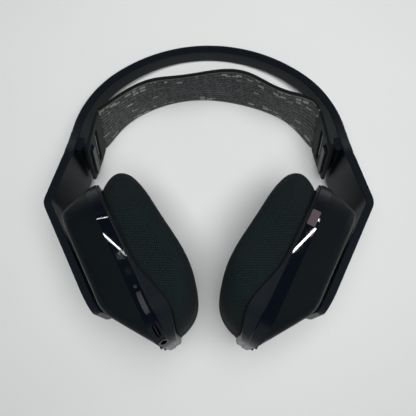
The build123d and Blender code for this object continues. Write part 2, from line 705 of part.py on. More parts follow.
with BuildPart() as driver_diaphragm:
    with BuildSketch(DRIVER):
        with BuildLine():
            Spline((0, 26.2), (7, 25.6), (10, 24.3), (15, 25.5), (21.0, 24.6), tangents=[(1, 0), (1, 0)])
            Line((21.0, 24.6), (21.0, 24.2))
            Spline((21.0, 24.2), (15, 25.1), (10, 23.9), (7, 25.2), (0, 25.8), tangents=[(-1, 0), (-1, 0)])
            Line((0, 25.8), (0, 26.2))
        make_face()
    revolve(axis=driver_axis)
keep(driver_diaphragm, "driver_diaphragm")

RETAINER_T = 1.2
with BuildPart() as pad_retainer:
    with BuildSketch(CUP.offset(baffle_top)):
        outline(5.4)
        outline(9.0, Mode.SUBTRACT)
    extrude(amount=RETAINER_T)
keep(pad_retainer, "pad_retainer")

SCRIM_T = 0.6
scrim_p = baffle_top + FLANGE_T
with BuildPart() as driver_scrim:
    with BuildSketch(CUP.offset(scrim_p)):
        outline(9.4)
    extrude(amount=SCRIM_T)
keep(driver_scrim, "driver_scrim")

# Ear pad: a soft ring, thickest at the front of its upper end


def pad_side():
    """Face of the pad seen from the rear."""
    lift = 0.35
    with BuildLine() as edge:
        Spline(
            (-32, RING_P + lift), (-35.6, 29.5), (-38.2, 36.8), (-33.8, 43.4), (-25, 46.3),
            (0, 48.4), (28, 51.1), (44, 48.6), (55, 41.5), (61.5, 28.6),
        )
        Spline(
            (61.5, 28.6), (58, 29.6 + lift), (50, 31.6 + lift), (38, 29.6 + lift),
            (27, 26.4 + lift), (14, RING_P + lift), tangents=[(-1, 0.35), (-1, 0)],
        )
        Line((14, RING_P + lift), (-32, RING_P + lift))
    make_face(edge.edges())


def pad_outline(half, top, end, top_r, end_r, mode=Mode.ADD):
    """Rounded face between two values of t."""
    corners = [(-half, top), (half, top), (half, end), (-half, end)]
    with BuildLine() as edge:
        FilletPolyline(*corners, radius=[top_r, top_r, end_r, end_r], close=True)
    make_face(edge.edges(), mode=mode)


with BuildPart() as ear_pad:
    with BuildSketch(CUP.offset(20)):
        pad_outline(PAD_HALF, -38.2, 61.0, 31.0, 26.0)
    extrude(amount=35)
    with BuildSketch(SIDE.offset(-50)):
        pad_side()
    extrude(amount=100, mode=Mode.INTERSECT)
    with BuildSketch(CUP.offset(20)):
        outline(RIM_WALL + 0.2)
    extrude(amount=scrim_p + SCRIM_T + 0.4 - 20, mode=Mode.SUBTRACT)
    with BuildSketch(CUP.offset(20)):
        pad_outline(EAR_HALF_N, EAR_TOP, EAR_END, EAR_R, EAR_R)
    extrude(amount=35, mode=Mode.SUBTRACT)
keep(ear_pad, "ear_pad")

# Lit strip on each front wall

with BuildPart() as light_window:
    with BuildSketch(LIGHT.offset(-WALL)):
        SlotOverall(LIGHT_LONG, LIGHT_WIDE)
    extrude(amount=WALL)
    with BuildSketch(LIGHT.offset(-WALL - 0.8)):
        SlotOverall(LIGHT_LONG + 2, LIGHT_WIDE + 1.6)
    extrude(amount=0.8)
keep(light_window, "light_window")

with BuildPart() as light_board:
    with BuildSketch(LIGHT.offset(-WALL - 2.2)):
        Rectangle(LIGHT_LONG, 4.4)
    extrude(amount=1.0)
    with BuildSketch(LIGHT.offset(-WALL - 1.2)):
        with GridLocations(9, 1, 5, 1):
            Rectangle(1.6, 1.6)
    extrude(amount=0.4)
keep(light_board, "light_board")

# Electronics and controls

BOARD_N, BOARD_T = 33.0, 1.4
board_face = BOARD_N + BOARD_T
BLOCK_HALF, BLOCK_P, SWITCH_N = 2.5, 12.0, 37.2
PIN_BLOCK_P = roller_low - 0.9
with BuildPart() as main_board:
    with BuildSketch(CUP.offset(5.5)):
        slot_face(BOARD_N, board_face, -12, 39)
    extrude(amount=11)
    with BuildSketch(CUP.offset(10)):
        slot_face(BOARD_N, board_face, 39, ROLLER_T + BLOCK_HALF)
    extrude(amount=6.5)
    # switches behind the buttons, a connector and the roller's block
    raised = [
        (POWER_T, BLOCK_HALF, SWITCH_N, STRIP_P + 1.5),
        (MUTE_T, BLOCK_HALF, SWITCH_N, STRIP_P + 1.5),
        (-1, 2 * BLOCK_HALF, 35.6, 15.0),
        (ROLLER_T, BLOCK_HALF, roller_n + BLOCK_HALF, PIN_BLOCK_P),
    ]
    for middle_t, half, high_n, high_p in raised:
        with BuildSketch(CUP.offset(BLOCK_P)):
            slot_face(board_face, high_n, middle_t - half, middle_t + half)
        extrude(amount=high_p - BLOCK_P)
    with BuildSketch(CUP.offset(PIN_BLOCK_P)):
        with Locations(roller_spot):
            Circle(AXLE_R + RUNNING)
    extrude(amount=-1.2, mode=Mode.SUBTRACT)
keep(main_board, "main_board", pair=False)

for name, spot, radius in (("power_button", POWER, POWER_R), ("mute_button", MUTE, MUTE_R)):
    with BuildPart() as button:
        with BuildSketch(spot.offset(BUTTON_PROUD)):
            Circle(radius)
        extrude(amount=-WALL - BUTTON_PROUD - 0.4)
        with BuildSketch(spot.offset(-WALL - 0.4)):
            Circle(radius + 0.4)
        extrude(amount=-1.0)
        with BuildSketch(spot.offset(-WALL - 1.4)):
            Circle(1.0)
        extrude(amount=-1.6)
        fillet(faces().sort_by(Axis(spot.origin, spot.z_dir))[-1].edges(), 0.25)
    keep(button, name, pair=False)

with BuildPart() as status_led:
    with BuildSketch(LED.offset(-0.05)):
        Circle(LED_R)
    extrude(amount=-WALL - 1.5)
keep(status_led, "status_led", pair=False)

GROOVES = 28
with BuildPart() as volume_roller:
    with BuildSketch(CUP.offset(roller_low)):
        with Locations(roller_spot):
            Circle(ROLLER_R)
            with PolarLocations(ROLLER_R + 0.1, GROOVES):
                Circle(0.4, mode=Mode.SUBTRACT)
    extrude(amount=ROLLER_WIDE)
    with BuildSketch(CUP.offset(PIN_BLOCK_P - 0.9)):
        with Locations(roller_spot):
            Circle(AXLE_R)
    extrude(amount=RING_P - 0.3 - PIN_BLOCK_P + 0.9)
keep(volume_roller, "volume_roller", pair=False)

with BuildPart() as usb_port:
    with BuildSketch(USB.offset(-0.2)):
        SlotOverall(USB_LONG, USB_WIDE)
    extrude(amount=-USB_DEEP)
    with BuildSketch(USB.offset(-0.2)):
        SlotOverall(USB_LONG - 0.6, USB_WIDE - 0.6)
        Rectangle(6.6, 0.7, mode=Mode.SUBTRACT)
    extrude(amount=-USB_DEEP + 1.0, mode=Mode.SUBTRACT)
keep(usb_port, "usb_port", pair=False)

with BuildPart() as mic_jack:
    with BuildSketch(JACK.offset(0.2)):
        Circle(jack_out_r)
        Circle(JACK_R, mode=Mode.SUBTRACT)
    extrude(amount=-JACK_LONG)
    with BuildSketch(JACK.offset(0.2 - JACK_LONG)):
        Circle(jack_out_r)
    extrude(amount=-1.0)
keep(mic_jack, "mic_jack", pair=False)

# Battery and rating label of the right cup, whose axes mirror the left one's

battery_spot = at(0, 37.0, 12.8)
BATTERY = Plane(
    origin=(-battery_spot.X, battery_spot.Y, battery_spot.Z),
    x_dir=(0, 0, 1),
    z_dir=(-CUP.z_dir.X, CUP.z_dir.Y, 0),
)
with BuildPart() as battery:
    with BuildSketch(BATTERY):
        Rectangle(38, 22)
        fillet(vertices(), 2.0)
    extrude(amount=5)
    fillet(edges().filter_by(GeomType.LINE), 0.6)
keep(battery, "battery", pair=False)

label_spot = at(CUP_HALF, -7.0, STRIP_P)
LABEL = Plane(
    origin=(-label_spot.X, label_spot.Y, label_spot.Z),
    x_dir=(-CUP.y_dir.X, CUP.y_dir.Y, 0),
    z_dir=(0, 0, 1),
)
with BuildPart() as rating_label:
    with BuildSketch(LABEL):
        Rectangle(9.0, 4.6)
        fillet(vertices(), 0.6)
    extrude(amount=0.2)
keep(rating_label, "rating_label", pair=False)

# Lay the headset down: far side on the plane Z = 0, crown towards +Y

pieces = dict(single)
for name, piece in left.items():
    pieces[name + "_left"] = piece
    pieces[name + "_right"] = mirror(piece, about=Plane.YZ)

os.makedirs("parts", exist_ok=True)
for name, piece in pieces.items():
    laid = piece.moved(REST)
    laid.label = name
    export_step(laid, f"parts/{name}.step")
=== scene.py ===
"""Looks of a wireless gaming headset that lies on its front side, built around its CAD frame.

Lengths named in millimetres are turned into metres by MM. Each cup has its own axes: n runs to the
rear of the head, which is up here, t down along the blade and p inwards to the ear.
"""

import json
import math

import bmesh
import bpy
import numpy as np
from mathutils import Matrix, Vector
from mathutils.bvhtree import BVHTree


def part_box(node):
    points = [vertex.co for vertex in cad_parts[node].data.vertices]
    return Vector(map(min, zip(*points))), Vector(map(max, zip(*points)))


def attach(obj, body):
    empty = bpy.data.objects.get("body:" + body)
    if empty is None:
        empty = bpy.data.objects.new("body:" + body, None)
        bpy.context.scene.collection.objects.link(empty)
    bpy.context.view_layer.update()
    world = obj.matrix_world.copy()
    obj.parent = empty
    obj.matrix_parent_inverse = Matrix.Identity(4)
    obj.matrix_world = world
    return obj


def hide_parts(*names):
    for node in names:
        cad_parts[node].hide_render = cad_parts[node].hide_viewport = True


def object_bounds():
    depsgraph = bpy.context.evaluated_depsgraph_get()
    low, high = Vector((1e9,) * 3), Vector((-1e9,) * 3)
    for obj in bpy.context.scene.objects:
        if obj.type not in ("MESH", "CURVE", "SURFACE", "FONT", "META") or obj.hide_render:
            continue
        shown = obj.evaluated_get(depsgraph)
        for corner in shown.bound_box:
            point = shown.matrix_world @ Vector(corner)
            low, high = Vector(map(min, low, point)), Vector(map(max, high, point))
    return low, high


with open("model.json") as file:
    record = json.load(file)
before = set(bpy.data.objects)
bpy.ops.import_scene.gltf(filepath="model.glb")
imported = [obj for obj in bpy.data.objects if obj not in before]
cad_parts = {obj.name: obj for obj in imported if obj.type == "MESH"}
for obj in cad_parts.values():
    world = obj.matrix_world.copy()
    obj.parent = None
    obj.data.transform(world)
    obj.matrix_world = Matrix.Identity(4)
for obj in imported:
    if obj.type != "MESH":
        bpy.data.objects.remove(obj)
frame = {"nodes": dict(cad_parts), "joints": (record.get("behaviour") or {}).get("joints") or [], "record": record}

CAD_LOW, CAD_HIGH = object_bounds()
MM = 0.001
SIDES = ("left", "right")
JOINTS = {joint["name"]: joint for joint in frame["joints"]}


# Camera, floor and light

LENS, SENSOR = 41.54, 36  # millimetres, as a camera names them
CAMERA_AWAY = 296.8 * MM
CAMERA_LEAN = math.radians(0.6)
CAMERA_SHIFT = -0.0019
AIM = Vector((0, CAD_LOW.y + 87.8 * MM, CAD_LOW.z + 39.2 * MM))


def make_camera():
    """Camera above the headset, with the cups towards the bottom of the picture."""
    data = bpy.data.cameras.new("camera")
    data.lens, data.sensor_width, data.shift_x = LENS, SENSOR, CAMERA_SHIFT
    data.clip_start, data.clip_end = 0.01, 20
    camera = bpy.data.objects.new("camera", data)
    look = Vector((0, math.sin(CAMERA_LEAN), -math.cos(CAMERA_LEAN)))
    camera.location = AIM - look * CAMERA_AWAY
    camera.rotation_euler = (CAMERA_LEAN, 0, 0)
    bpy.context.scene.collection.objects.link(camera)
    bpy.context.scene.camera = camera


class Look:
    """A material with short ways to add its nodes."""

    def __init__(self, name, colour, rough, **sockets):
        self.material = bpy.data.materials.new(name)
        self.material.use_nodes = True
        self.tree = self.material.node_tree
        self.shader = self.tree.nodes["Principled BSDF"]
        self.colour = colour
        self.rough = rough
        self.set("Base Color", (*colour, 1))
        self.set("Roughness", rough)
        for socket, value in sockets.items():
            self.set(socket.replace("_", " "), value)

    def set(self, socket, value):
        """Give the shader a number or a colour, or link it to another node."""
        self.join(value, self.shader.inputs[socket])

    def join(self, value, socket):
        """Link an output to a socket, or write a plain value into it."""
        if isinstance(value, bpy.types.NodeSocket):
            self.tree.links.new(value, socket)
        else:
            socket.default_value = value

    def add(self, kind, out, inputs, **settings):
        """Add a node and return one of its outputs. Inputs are given by name or by number."""
        node = self.tree.nodes.new("ShaderNode" + kind)
        for name, value in settings.items():
            setattr(node, name, value)
        for name, value in inputs.items():
            self.join(value, node.inputs[name])
        return node.outputs[out]

    def place(self):
        """Position on the object, which moves with it."""
        return self.add("TexCoord", "Object", {})

    def weave(self):
        """Position on the cloth, in metres along it and across it."""
        return self.add("UVMap", "UV", {}, uv_map="weave")

    def math(self, operation, a, b=0.0):
        return self.add("Math", 0, {0: a, 1: b}, operation=operation)

    def step(self, value, low, high, to_low=0.0, to_high=1.0):
        """Smooth step of a value between two others."""
        inputs = {"Value": value, "From Min": low, "From Max": high}
        inputs.update({"To Min": to_low, "To Max": to_high})
        return self.add("MapRange", "Result", inputs, interpolation_type="SMOOTHSTEP")

    def noise(self, place, size, detail=2.0):
        """Noise whose features are about the given size in metres."""
        return self.add("TexNoise", 0, {"Vector": place, "Scale": 1 / size, "Detail": detail})

    def mix(self, factor, a, b):
        """Mix of two colours."""
        a = (*a, 1) if isinstance(a, tuple) and len(a) == 3 else a
        b = (*b, 1) if isinstance(b, tuple) and len(b) == 3 else b
        return self.add("Mix", 2, {0: factor, 6: a, 7: b}, data_type="RGBA")

    def relief(self, height, depth, below=None, strength=1.0):
        """Normal of a bumpy surface, laid over another one."""
        inputs = {"Height": height, "Distance": depth, "Strength": strength}
        if below is not None:
            inputs["Normal"] = below
        return self.add("Bump", 0, inputs)

    def soft_edge(self, radius):
        """Normal that rounds the sharp edges."""
        return self.add("Bevel", 0, {"Radius": radius}, samples=6)

    def edge(self, rounded):
        """Mask of the edges, from the rounded normal."""
        true = self.add("NewGeometry", "True Normal", {})
        same = self.add("VectorMath", "Value", {0: rounded, 1: true}, operation="DOT_PRODUCT")
        return self.step(same, 0.995, 0.85)


def shade(colour, factor):
    """A colour made darker or lighter."""
    return tuple(c * factor for c in colour)


class Cup:
    """A cup and its axes, whose origin is where the pivot's line meets the shell's outer face."""

    def __init__(self, side):
        self.side = side
        self.body = side + "_cup"
        self.t = Vector(JOINTS[side + "_height"]["axis"]).normalized()
        self.n = Vector(JOINTS[side + "_tilt"]["axis"]).normalized()
        self.p = self.n.cross(self.t) * (1 if side == "left" else -1)
        pivot = Vector(JOINTS[side + "_tilt"]["pos_m"])
        shell = frame["nodes"]["outer_shell_" + side].data.vertices
        self.origin = pivot + self.p * (min(v.co.dot(self.p) for v in shell) - pivot.dot(self.p))

    def at(self, n, t, p):
        """Point of the cup's axes, in the row frame."""
        return self.origin + (self.n * n + self.t * t + self.p * p) * MM

    def points(self, local):
        """Points of the cup's axes, in the row frame."""
        axes = np.array([self.n, self.t, self.p])
        return np.asarray(local, float) @ axes * MM + np.array(self.origin)

    def reach(self, tree, start, towards):
        """Distance in millimetres from a point to a surface, or None."""
        hit = tree.ray_cast(self.at(*start), towards)
        return None if hit[0] is None else hit[3] / MM


# Materials


def moulded(name, colour, rough, grain=0.16, depth=0.012, edge=0.22, wear=1.8, **sockets):
    """Moulded plastic: spark-eroded grain, faint handling marks and slightly polished edges."""
    sockets.setdefault("Specular_IOR_Level", 0.3)
    look = Look(name, colour, rough, **sockets)
    place = look.place()
    fine = look.noise(place, grain * MM, 2)
    smudge = look.noise(place, 16 * MM, 4)
    streak = look.noise(place, 3 * MM, 5)
    rounded = look.soft_edge(edge * MM)
    edges = look.edge(rounded)
    tone = look.mix(smudge, shade(colour, 0.82), shade(colour, 1.2))
    tone = look.mix(look.step(streak, 0.62, 0.74, 0, 0.3), tone, shade(colour, 1.5))
    look.set("Base Color", look.mix(edges, tone, shade(colour, wear)))
    uneven = look.math("MULTIPLY_ADD", smudge, 0.14)
    uneven.node.inputs[2].default_value = rough - 0.07
    look.set("Roughness", look.math("SUBTRACT", uneven, look.math("MULTIPLY", edges, 0.06)))
    look.set("Normal", look.relief(fine, depth * MM, rounded))
    return look


GLOSS_FROM, GLOSS_TO = -9.0, 55.0  # t, millimetres
DUST_COLOUR = (0.05, 0.055, 0.06)


def along_blade(look):
    """Distance t down either cup's blade, in millimetres."""
    x, y, z = look.add("SeparateXYZ", 0, {0: look.place()}).node.outputs
    both = look.add("CombineXYZ", 0, {"X": look.math("ABSOLUTE", x), "Y": y, "Z": z})
    cup = Cup("right")
    down = tuple(cup.t / MM)
    level = look.add("VectorMath", "Value", {0: both, 1: down}, operation="DOT_PRODUCT")
    return look.math("SUBTRACT", level, cup.origin.dot(cup.t) / MM)


def polished(name, colour, rough, edge=0.18, satin=None, **sockets):
    """Gloss plastic: smooth, with wiping marks and dust. Satin is the roughness of its ends."""
    look = Look(name, colour, rough, **sockets)
    place = look.place()
    wipe = look.noise(place, 7 * MM, 3)
    dust = look.step(look.noise(place, 0.35 * MM, 0), 0.79, 0.82)
    rounded = look.soft_edge(edge * MM)
    look.set("Base Color", look.mix(look.math("MULTIPLY", dust, 0.4), colour, DUST_COLOUR))
    wiped = look.step(wipe, 0.4, 0.75, rough, rough + 0.02)
    worn = look.math("ADD", wiped, look.math("MULTIPLY", dust, 0.25))
    if satin:
        t = along_blade(look)
        above = look.step(t, GLOSS_FROM, GLOSS_FROM - 0.6)
        below = look.step(t, GLOSS_TO, GLOSS_TO + 3)
        ends = look.math("ADD", above, below)
        worn = look.math("ADD", worn, look.math("MULTIPLY", ends, satin - rough))
    look.set("Roughness", worn)
    look.set("Normal", rounded)
    return look


def metal(name, colour, rough, grain=(6.0, 0.12)):
    """Turned or plated metal with fine brushing."""
    look = Look(name, colour, rough, Metallic=1.0)
    place = look.place()
    long, wide = grain
    scale = (1 / (wide * MM), 1 / (long * MM), 1 / (wide * MM))
    stretched = look.add("Mapping", 0, {"Vector": place, "Scale": scale})
    brush = look.add("TexNoise", 0, {"Vector": stretched, "Scale": 1.0, "Detail": 3.0})
    look.set("Base Color", look.mix(brush, shade(colour, 0.75), shade(colour, 1.2)))
    look.set("Roughness", look.step(brush, 0.2, 0.8, rough - 0.08, rough + 0.12))
    look.set("Normal", look.relief(brush, 0.006 * MM, look.soft_edge(0.12 * MM)))
    return look


def rubber(name, colour, rough):
    """Soft moulded rubber with a matt bloom."""
    look = moulded(name, colour, rough, grain=0.3, depth=0.02, edge=0.35, wear=1.5)
    look.set("Specular IOR Level", 0.1)
    look.set("Sheen Weight", 0.02)
    look.set("Sheen Roughness", 0.5)
    return look


def board_look():
    """Circuit board: green solder mask over copper tracks."""
    look = Look("circuit_board", (0.01, 0.06, 0.03), 0.35, Coat_Weight=0.4)
    place = look.place()
    cells = {"Vector": place, "Scale": 1 / (1.6 * MM)}
    settings = {"feature": "DISTANCE_TO_EDGE", "distance": "EUCLIDEAN"}
    tracks = look.add("TexVoronoi", "Distance", cells, **settings)
    line = look.step(tracks, 0.05, 0.09)
    look.set("Base Color", look.mix(line, (0.03, 0.13, 0.06), (0.008, 0.05, 0.025)))
    look.set("Normal", look.relief(line, 0.03 * MM))
    return look


MESH_PITCH = 1.15 * MM


def pad_look():
    """Sports mesh: a knit with a lattice of small holes, dark green-grey and slightly fuzzy."""
    yarn, hole = (0.0078, 0.0128, 0.0136), (0.0025, 0.004, 0.0042)
    look = Look("pad_cloth", yarn, 0.92, Specular_IOR_Level=0.15)
    look.set("Sheen Weight", 0.02)
    look.set("Sheen Roughness", 0.45)
    weave = look.weave()
    slant = {"Rotation": (0, 0, math.radians(45)), "Scale": (1 / MESH_PITCH,) * 3}
    turned = look.add("Mapping", 0, {"Vector": weave, **slant})
    holes = {"Vector": turned, "Scale": 1.0, "Randomness": 0.12}
    lattice = look.add("TexVoronoi", "Distance", holes, voronoi_dimensions="2D")
    solid = look.step(lattice, 0.12, 0.42)
    fibre = look.noise(weave, 0.22 * MM, 3)
    heather = look.noise(weave, 1.1 * MM, 4)
    cloud = look.noise(look.place(), 14 * MM, 2)
    tone = look.mix(look.step(heather, 0.35, 0.68), shade(yarn, 0.72), shade(yarn, 1.55))
    tone = look.mix(look.step(cloud, 0.3, 0.75), tone, shade(yarn, 1.25))
    look.set("Base Color", look.mix(solid, hole, tone))
    look.set("Roughness", look.step(solid, 0, 1, 0.98, 0.86))
    below = look.relief(fibre, 0.05 * MM)
    look.set("Normal", look.relief(solid, 0.28 * MM, below))
    return look


def lining_look():
    """Fine plain weave inside the ear opening and over the driver."""
    colour = (0.011, 0.012, 0.013)
    look = Look("lining_cloth", colour, 0.9, Sheen_Weight=0.1, Specular_IOR_Level=0.25)
    place = look.place()
    fine = look.noise(place, 0.3 * MM, 2)
    bands = {"Vector": place, "Scale": 1 / (3.6 * MM), "Distortion": 0.6}
    wave = look.add("TexWave", 0, bands)
    cross = look.add("TexWave", 0, bands, bands_direction="Y")
    threads = look.math("MULTIPLY", wave, cross)
    look.set("Base Color", look.mix(threads, shade(colour, 0.6), shade(colour, 1.7)))
    look.set("Normal", look.relief(look.math("ADD", threads, fine), 0.05 * MM))
    return look


STRAP_RIBS = 13
STRAP_COLOURS = {
    "dark": (0.018, 0.021, 0.023),
    "light": (0.105, 0.108, 0.112),
    "end": (0.2, 0.2, 0.205),
    "dash": (0.42, 0.41, 0.385),
    "line": (0.3, 0.27, 0.2),
    "hem": (0.008, 0.009, 0.01),
}
STITCH_LONG = 1.05 * MM
DASH_LONG = 5.2 * MM
DASH_SHARE = 0.74
LINE_IN, HEM_IN = 1.35 * MM, 0.85 * MM  # how far in from the edge the pale line and the hem reach


def strap_look(width, length):
    """Ribbed knit in heathered greys, with short light dashes and a black hem over a pale line."""
    dark = STRAP_COLOURS["dark"]
    look = Look("strap_knit", dark, 0.9, Specular_IOR_Level=0.2, Sheen_Weight=0.06)
    weave = look.weave()
    along, across = look.add("SeparateXYZ", 0, {0: weave}).node.outputs[:2]
    pitch = width / STRAP_RIBS

    def shifted(wide):
        """Half a cell for every other row."""
        row = look.math("FLOOR", look.math("DIVIDE", across, wide))
        return look.math("MULTIPLY", look.math("MODULO", row, 2.0), 0.5)

    def cells(long, wide, seed):
        """Random number for each cell of the cloth."""
        row = look.math("FLOOR", look.math("DIVIDE", across, wide))
        place = look.math("ADD", look.math("DIVIDE", along, long), shifted(wide))
        spot = {"X": look.math("FLOOR", place), "Y": row, "Z": seed}
        cell = look.add("CombineXYZ", 0, spot)
        return look.add("TexWhiteNoise", "Value", {"Vector": cell}, noise_dimensions="3D")

    def from_middle(distance, whole):
        """Distance from the middle of the cloth, as a share of its whole size."""
        share = look.math("SUBTRACT", look.math("DIVIDE", distance, whole), 0.5)
        return look.math("ABSOLUTE", share)

    # yarn: every stitch has its own tone, and the tone drifts along each rib
    stitch = cells(STITCH_LONG, pitch / 2, 1.0)
    stretch = (1 / (24 * MM), 1 / (1.1 * pitch), 1)
    drift_spot = look.add("Mapping", 0, {"Vector": weave, "Scale": stretch})
    drift = look.add("TexNoise", 0, {"Vector": drift_spot, "Scale": 1.0, "Detail": 3.0})
    drift = look.math("MULTIPLY", drift, 0.75)
    tone = look.math("ADD", look.math("MULTIPLY", stitch, 0.55), drift)
    knit = look.mix(look.step(tone, 0.3, 1.0), dark, STRAP_COLOURS["light"])
    # lighter towards both ends
    end = from_middle(along, length)
    light = look.mix(tone, shade(dark, 1.6), STRAP_COLOURS["end"])
    knit = look.mix(look.step(end, 0.12, 0.42, 0.0, 0.45), knit, light)
    # painted shade in the grooves between the ribs
    rib = look.math("PINGPONG", look.math("DIVIDE", across, pitch), 0.5)
    knit = look.mix(look.step(rib, 0.02, 0.16), shade(dark, 0.45), knit)
    # dashes: in rows near both edges, and denser near the ends
    middle = from_middle(across, width)
    chance = look.step(end, 0.05, 0.42, 0.08, 0.22)
    chance = look.math("MULTIPLY", chance, look.step(middle, 0.24, 0.34, 0.06, 1.0))
    patch = look.noise(weave, 14 * MM, 1)
    chance = look.math("MULTIPLY", chance, look.step(patch, 0.4, 0.6, 0.35, 1.5))
    dash = look.math("LESS_THAN", cells(DASH_LONG, pitch / 2, 5.0), chance)
    part = look.math("ADD", look.math("DIVIDE", along, DASH_LONG), shifted(pitch / 2))
    drawn = look.math("LESS_THAN", look.math("FRACT", part), DASH_SHARE)
    dash = look.math("MULTIPLY", look.math("MULTIPLY", dash, drawn), 0.85)
    knit = look.mix(dash, knit, STRAP_COLOURS["dash"])
    # pale line and black hem along each edge
    off_middle = look.math("ABSOLUTE", look.math("SUBTRACT", across, 0.5 * width))
    edge = look.math("SUBTRACT", 0.5 * width, off_middle)
    line = look.math("MULTIPLY", look.math("LESS_THAN", edge, LINE_IN), 0.8)
    knit = look.mix(line, knit, STRAP_COLOURS["line"])
    hem = look.math("LESS_THAN", edge, HEM_IN)
    look.set("Base Color", look.mix(hem, knit, STRAP_COLOURS["hem"]))
    # relief of the fibres and of the twisted loops
    fibre = look.noise(weave, 0.25 * MM, 3)
    slant = {"Rotation": (0, 0, math.radians(35)), "Scale": (1 / (1.4 * MM),) * 3}
    loops = look.add("Mapping", 0, {"Vector": weave, **slant})
    twist = look.add("TexWave", 0, {"Vector": loops, "Scale": 0.5, "Distortion": 1.5})
    look.set("Normal", look.relief(twist, 0.14 * MM, look.relief(fibre, 0.06 * MM)))
    return look


def plain_cloth(name, colour):
    """Dense woven tape or thread."""
    look = Look(name, colour, 0.88, Specular_IOR_Level=0.3)
    grain = look.noise(look.place(), 0.25 * MM, 3)
    look.set("Base Color", look.mix(grain, shade(colour, 0.55), shade(colour, 1.6)))
    look.set("Normal", look.relief(grain, 0.08 * MM))
    return look


MOULDED = {
    "frame_plastic": dict(
        colour=(0.0062, 0.0085, 0.0118), rough=0.4, grain=0.2, depth=0.006, Specular_IOR_Level=0.14
    ),
    "inner_plastic": dict(colour=(0.012, 0.012, 0.013), rough=0.6, grain=0.25, depth=0.02),
    "shell_matte": dict(colour=(0.0034, 0.0052, 0.0062), rough=0.46, grain=0.14, depth=0.012),
    "ring_satin": dict(colour=(0.0062, 0.0085, 0.011), rough=0.36, grain=0.2, depth=0.006),
    "driver_plastic": dict(colour=(0.018, 0.018, 0.018), rough=0.55),
    "roller_plastic": dict(colour=(0.035, 0.038, 0.042), rough=0.5, grain=0.2, edge=0.1, wear=1.3),
    "label_film": dict(colour=(0.07, 0.055, 0.062), rough=0.45, grain=0.3, depth=0.004, wear=1.1),
    "mark_ink": dict(colour=(0.07, 0.075, 0.08), rough=0.5, wear=1.0),
}
RUBBERS = {
    "lead_sheath": dict(colour=(0.01, 0.01, 0.011), rough=0.6),
    "tab_rubber": dict(colour=(0.0055, 0.0088, 0.0095), rough=0.66),
}
POLISHED = {
    "housing_gloss": dict(colour=(0.0022, 0.0034, 0.0062), rough=0.012, satin=0.36),
    "button_plastic": dict(colour=(0.004, 0.0048, 0.0062), rough=0.16, edge=0.12, Coat_Weight=0.3),
    "light_diffuser": dict(colour=(0.022, 0.023, 0.026), rough=0.22, Coat_Weight=0.5),
    "led_lens": dict(colour=(0.02, 0.022, 0.022), rough=0.3, edge=0.05),
    "battery_wrap": dict(colour=(0.22, 0.25, 0.28), rough=0.3, Coat_Weight=0.6),
    "diaphragm_film": dict(colour=(0.16, 0.16, 0.17), rough=0.25, Coat_Weight=0.3),
}
METALS = {
    "screw_steel": dict(colour=(0.16, 0.16, 0.17), rough=0.38),
    "magnet_steel": dict(colour=(0.42, 0.42, 0.44), rough=0.3),
    "port_metal": dict(colour=(0.1, 0.1, 0.11), rough=0.36),
    "jack_ring": dict(colour=(0.2, 0.2, 0.21), rough=0.34),
}
CLOTHS = {
    "hem_tape": dict(colour=(0.0075, 0.0085, 0.009)),
    "thread": dict(colour=(0.03, 0.034, 0.035)),
}


def make_looks():
    """Every material but the strap's, which depends on its size, by the name of its slot."""
    looks = {"circuit_board": board_look(), "scrim_cloth": lining_look(), "pad_cloth": pad_look()}
    kinds = (
        (moulded, MOULDED), (rubber, RUBBERS), (polished, POLISHED), (metal, METALS),
        (plain_cloth, CLOTHS),
    )
    for kind, table in kinds:
        for name, values in table.items():
            looks[name] = kind(name, **values)
    return looks


LOOKS = make_looks()


def finish_cad_nodes():
    """Give every CAD node the material of its slot."""
    for part in frame["record"]["subparts"]:
        if part["material_slot"] in LOOKS:
            mesh = frame["nodes"][part["node"]].data
            mesh.materials.clear()
            mesh.materials.append(LOOKS[part["material_slot"]].material)


# Meshes


class Skin:
    """Collects rows of points into one closed mesh, with a UV map in metres."""

    def __init__(self):
        self.points, self.faces, self.spots = [], [], []

    def add(self, rows, around=True, along=False, caps=False):
        """A surface through rows of points.

        Around joins each row's two ends, and along joins the last row to the first.
        """
        rows = np.asarray(rows, float)
        count, width = rows.shape[:2]
        first = len(self.points)
        self.points.extend(map(tuple, rows.reshape(-1, 3)))
        next_point = np.linalg.norm(np.roll(rows, -1, 1) - rows, axis=2).max(0)
        next_row = np.linalg.norm(np.roll(rows, -1, 0) - rows, axis=2).mean(1)
        across = np.concatenate([[0], np.cumsum(next_point)])
        down = np.concatenate([[0], np.cumsum(next_row)])
        for i in range(count if along else count - 1):
            for j in range(width if around else width - 1):
                k, m = (i + 1) % count, (j + 1) % width
                corners = (i * width + j, i * width + m, k * width + m, k * width + j)
                self.faces.append([first + c for c in corners])
                (u, u_next), (v, v_next) = across[j : j + 2], down[i : i + 2]
                self.spots.append([(u, v), (u_next, v), (u_next, v_next), (u, v_next)])
        if caps:
            for start in (first, first + (count - 1) * width):
                self.faces.append(list(range(start, start + width)))
                self.spots.append([(0, 0)] * width)

    def make(self, name, look, body):
        """The finished piece, riding on its body."""
        mesh = bpy.data.meshes.new(name)
        mesh.from_pydata(self.points, [], self.faces)
        layer = mesh.uv_layers.new(name="weave")
        layer.data.foreach_set("uv", [x for face in self.spots for spot in face for x in spot])
        edit = bmesh.new()
        edit.from_mesh(mesh)
        bmesh.ops.recalc_face_normals(edit, faces=edit.faces)
        edit.to_mesh(mesh)
        edit.free()
        mesh.shade_smooth()
        mesh.materials.append(look.material)
        piece = bpy.data.objects.new(name, mesh)
        bpy.context.scene.collection.objects.link(piece)
        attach(piece, body)
        return piece


